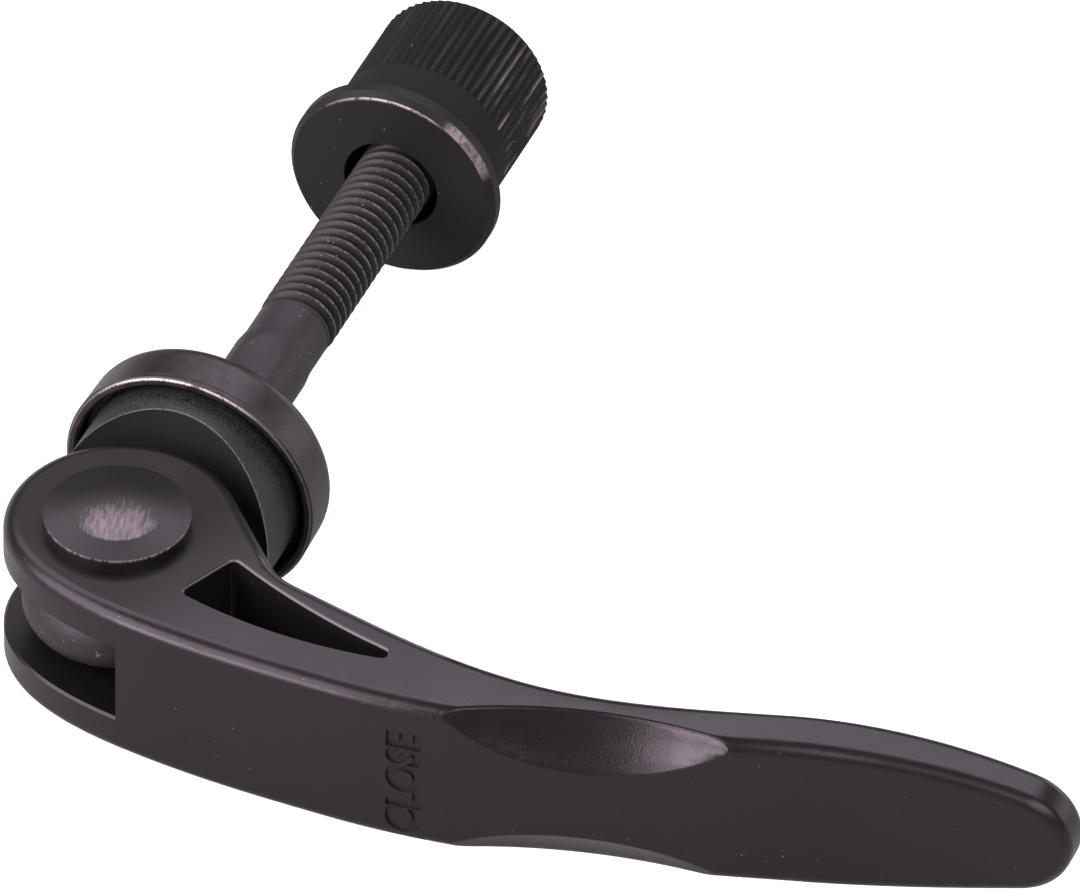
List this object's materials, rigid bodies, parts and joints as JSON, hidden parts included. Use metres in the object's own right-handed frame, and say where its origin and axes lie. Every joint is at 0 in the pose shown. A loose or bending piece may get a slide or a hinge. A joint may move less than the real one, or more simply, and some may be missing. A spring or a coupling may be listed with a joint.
{
  "type": "cam lever",
  "caption": "Quick-release clamp: a forked cam lever on an eye bolt, with a cup washer and saddle, and a knurled flange nut.",
  "frame": {"origin": "centre of the cup washer's flat clamping face, on the bolt's axis", "axes": "+Y along the bolt, from the clamping face to the nut; +Z along the pivot pin, to its domed head; +X along the closed lever, to its tip"},
  "size_m": [0.0854, 0.0772, 0.02],
  "materials": {
    "lever_black": "satin black, slightly warm, with edges worn lighter",
    "pin_steel": "blackened steel with a bright worn dome",
    "bolt_black": "rough black phosphate",
    "washer_black": "satin black with a bright worn lip",
    "saddle_plastic": "matt dark grey, finely speckled",
    "nut_black": "satin black with worn silver patches on the flange's rim"
  },
  "bodies": {
    "clamp_seat": {"cup_washer": "washer_black", "saddle_insert": "saddle_plastic"},
    "bolt": {"eye_bolt": "bolt_black"},
    "lever_arm": {"lever": "lever_black", "pivot_pin": "pin_steel"},
    "nut": {"flange_nut": "nut_black"}
  },
  "joints": [
    {"name": "clamp_stroke", "type": "slide", "parent": "clamp_seat", "child": "bolt", "axis": [0, 1, 0], "range_m": [0, 0.00164]},
    {"name": "lever_pivot", "type": "hinge", "parent": "bolt", "child": "lever_arm", "pos_m": [0, -0.0179, 0], "axis": [0, 0, -1], "range_deg": [0, 145]},
    {"name": "nut_travel", "type": "slide", "parent": "bolt", "child": "nut", "axis": [0, 1, 0], "range_m": [-0.022, 0.003]}
  ],
  "couplings": [
    {"joint": "clamp_stroke", "follows": "lever_pivot", "m_per_rad": 0.00064694}
  ]
}
